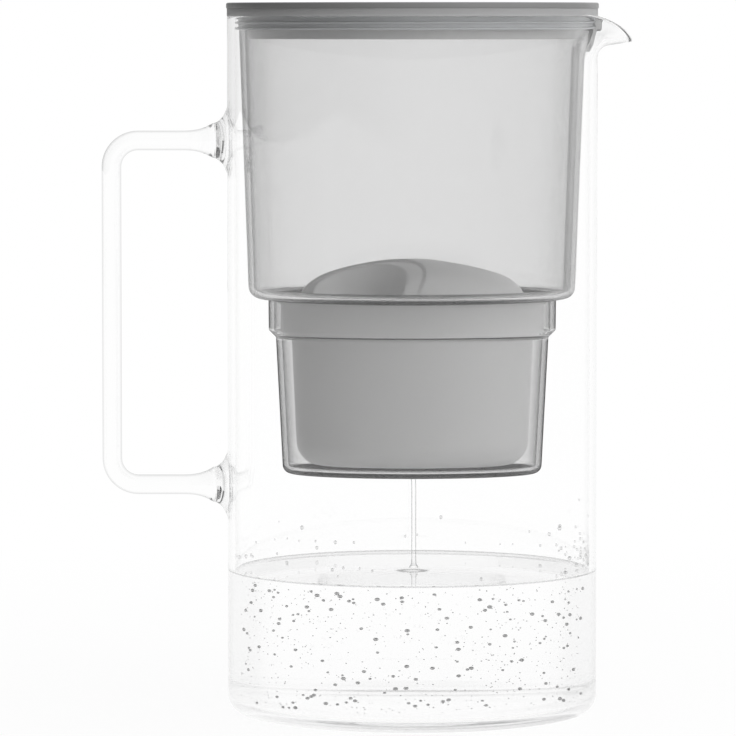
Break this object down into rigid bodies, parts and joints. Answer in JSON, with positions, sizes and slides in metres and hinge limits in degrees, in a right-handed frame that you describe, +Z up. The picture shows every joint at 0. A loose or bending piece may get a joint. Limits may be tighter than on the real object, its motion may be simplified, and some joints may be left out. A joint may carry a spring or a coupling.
{
  "type": "water filter pitcher",
  "caption": "Round clear glass jug with spout and loop handle, holding a lift-out tinted funnel, an oval filter cartridge and a flat lid with a filter change indicator button.",
  "frame": {"origin": "middle of the jug's flat base, on its axis", "axes": "+Z up along the jug's axis, +X towards the spout, -X towards the handle"},
  "size_m": [0.1901, 0.1326, 0.254],
  "materials": {
    "clear_glass": "clear, fire-polished",
    "tinted_plastic": "clear grey tint, glossy",
    "seal_silicone": "translucent grey, satin",
    "cartridge_plastic": "light grey, satin",
    "dark_rubber": "matte",
    "screen_fabric": "fine white fleece",
    "filter_granules": "packed granules",
    "lid_plastic": "grey, satin",
    "contact_steel": "plain",
    "board_laminate": "green lacquer",
    "dark_plastic": "matte",
    "lamp_plastic": "milky clear",
    "button_plastic": "pale grey, satin"
  },
  "bodies": {
    "jug": {"glass_jug": "clear_glass", "glass_handle": "clear_glass"},
    "funnel_body": {"funnel": "tinted_plastic", "funnel_seal": "seal_silicone"},
    "cartridge": {"cartridge_cap": "cartridge_plastic", "cartridge_seal": "dark_rubber", "cartridge_cup": "cartridge_plastic", "lower_screen": "screen_fabric", "filter_media": "filter_granules", "upper_screen": "screen_fabric"},
    "lid": {"lid_cover": "lid_plastic", "lid_skirt": "lid_plastic", "indicator_pod": "lid_plastic", "battery_door": "lid_plastic", "door_ring": "dark_rubber", "battery_contact": "contact_steel", "coin_cell": "contact_steel", "circuit_board": "board_laminate", "button_switch": "dark_plastic", "indicator_lamps": "lamp_plastic"},
    "button": {"indicator_button": "button_plastic", "indicator_windows": "lamp_plastic"}
  },
  "joints": [
    {"name": "funnel_lift", "type": "slide", "parent": "jug", "child": "funnel_body", "axis": [0, 0, 1], "range_m": [0, 0.175]},
    {"name": "lid_lift", "type": "slide", "parent": "funnel_body", "child": "lid", "axis": [0, 0, 1], "range_m": [0, 0.06]},
    {"name": "cartridge_lift", "type": "slide", "parent": "funnel_body", "child": "cartridge", "axis": [0, 0, 1], "range_m": [0, 0.068]},
    {"name": "indicator_press", "type": "slide", "parent": "lid", "child": "button", "axis": [0, 0, -1], "range_m": [0, 0.0006], "stiffness_N_per_m": 600, "springref_m": -0.001}
  ]
}
